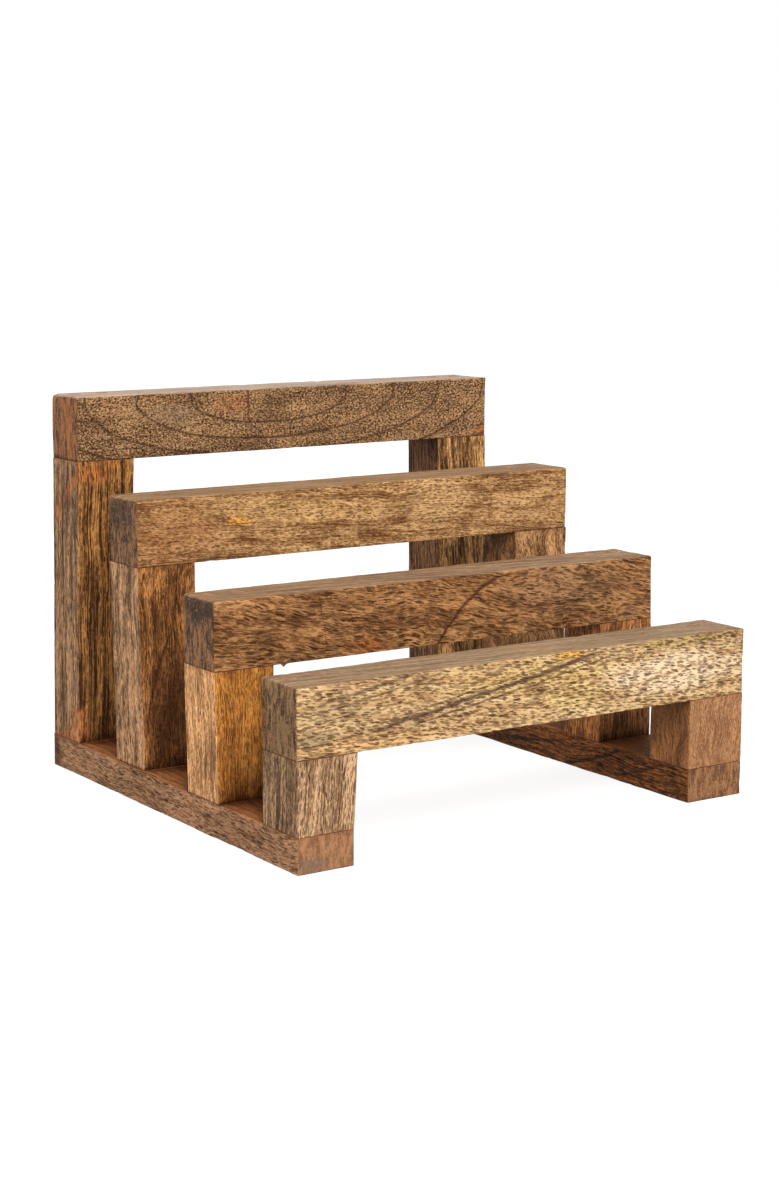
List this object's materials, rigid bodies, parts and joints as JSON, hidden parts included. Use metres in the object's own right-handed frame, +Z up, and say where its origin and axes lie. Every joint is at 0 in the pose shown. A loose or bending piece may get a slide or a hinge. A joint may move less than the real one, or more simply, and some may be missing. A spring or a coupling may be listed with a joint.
{
  "type": "stepped wooden plate rack",
  "caption": "Stepped wooden rack of inverted-U frames rising from front to back on two base rails, with slots between the frames for plates, boards, lids or trays.",
  "frame": {"origin": "middle of the bounding box's footprint, on the surface that the rack stands on", "axes": "+X along the cross rails to the right, +Y from the low front frame to the tall rear frame, +Z up"},
  "size_m": [0.308, 0.2894, 0.229],
  "materials": {
    "base_rail_left": "oiled mango wood with an antiqued, lightly burnt surface and dark open pores",
    "base_rail_right": "oiled mango wood with an antiqued, lightly burnt surface and dark open pores",
    "post_front_left": "oiled mango wood with an antiqued, lightly burnt surface and dark open pores",
    "post_front_right": "oiled mango wood with an antiqued, lightly burnt surface and dark open pores",
    "cross_rail_front": "oiled mango wood with an antiqued, lightly burnt surface and dark open pores",
    "post_second_left": "oiled mango wood with an antiqued, lightly burnt surface and dark open pores",
    "post_second_right": "oiled mango wood with an antiqued, lightly burnt surface and dark open pores",
    "cross_rail_second": "oiled mango wood with an antiqued, lightly burnt surface and dark open pores",
    "post_third_left": "oiled mango wood with an antiqued, lightly burnt surface and dark open pores",
    "post_third_right": "oiled mango wood with an antiqued, lightly burnt surface and dark open pores",
    "cross_rail_third": "oiled mango wood with an antiqued, lightly burnt surface and dark open pores",
    "post_rear_left": "oiled mango wood with an antiqued, lightly burnt surface and dark open pores",
    "post_rear_right": "oiled mango wood with an antiqued, lightly burnt surface and dark open pores",
    "cross_rail_rear": "oiled mango wood with an antiqued, lightly burnt surface and dark open pores",
    "screw_steel": "zinc-plated",
    "wood_filler": "matt wood filler, sanded flush"
  },
  "bodies": {
    "root": {"base_rail_left": "base_rail_left", "base_rail_right": "base_rail_right", "post_front_left": "post_front_left", "post_front_right": "post_front_right", "cross_rail_front": "cross_rail_front", "post_second_left": "post_second_left", "post_second_right": "post_second_right", "cross_rail_second": "cross_rail_second", "post_third_left": "post_third_left", "post_third_right": "post_third_right", "cross_rail_third": "cross_rail_third", "post_rear_left": "post_rear_left", "post_rear_right": "post_rear_right", "cross_rail_rear": "cross_rail_rear", "rail_screws_front": "screw_steel", "rail_screws_second": "screw_steel", "rail_screws_third": "screw_steel", "rail_screws_rear": "screw_steel", "base_screws_left": "screw_steel", "base_screws_right": "screw_steel", "filler_plugs_front": "wood_filler", "filler_plugs_second": "wood_filler", "filler_plugs_third": "wood_filler", "filler_plugs_rear": "wood_filler"}
  },
  "joints": []
}
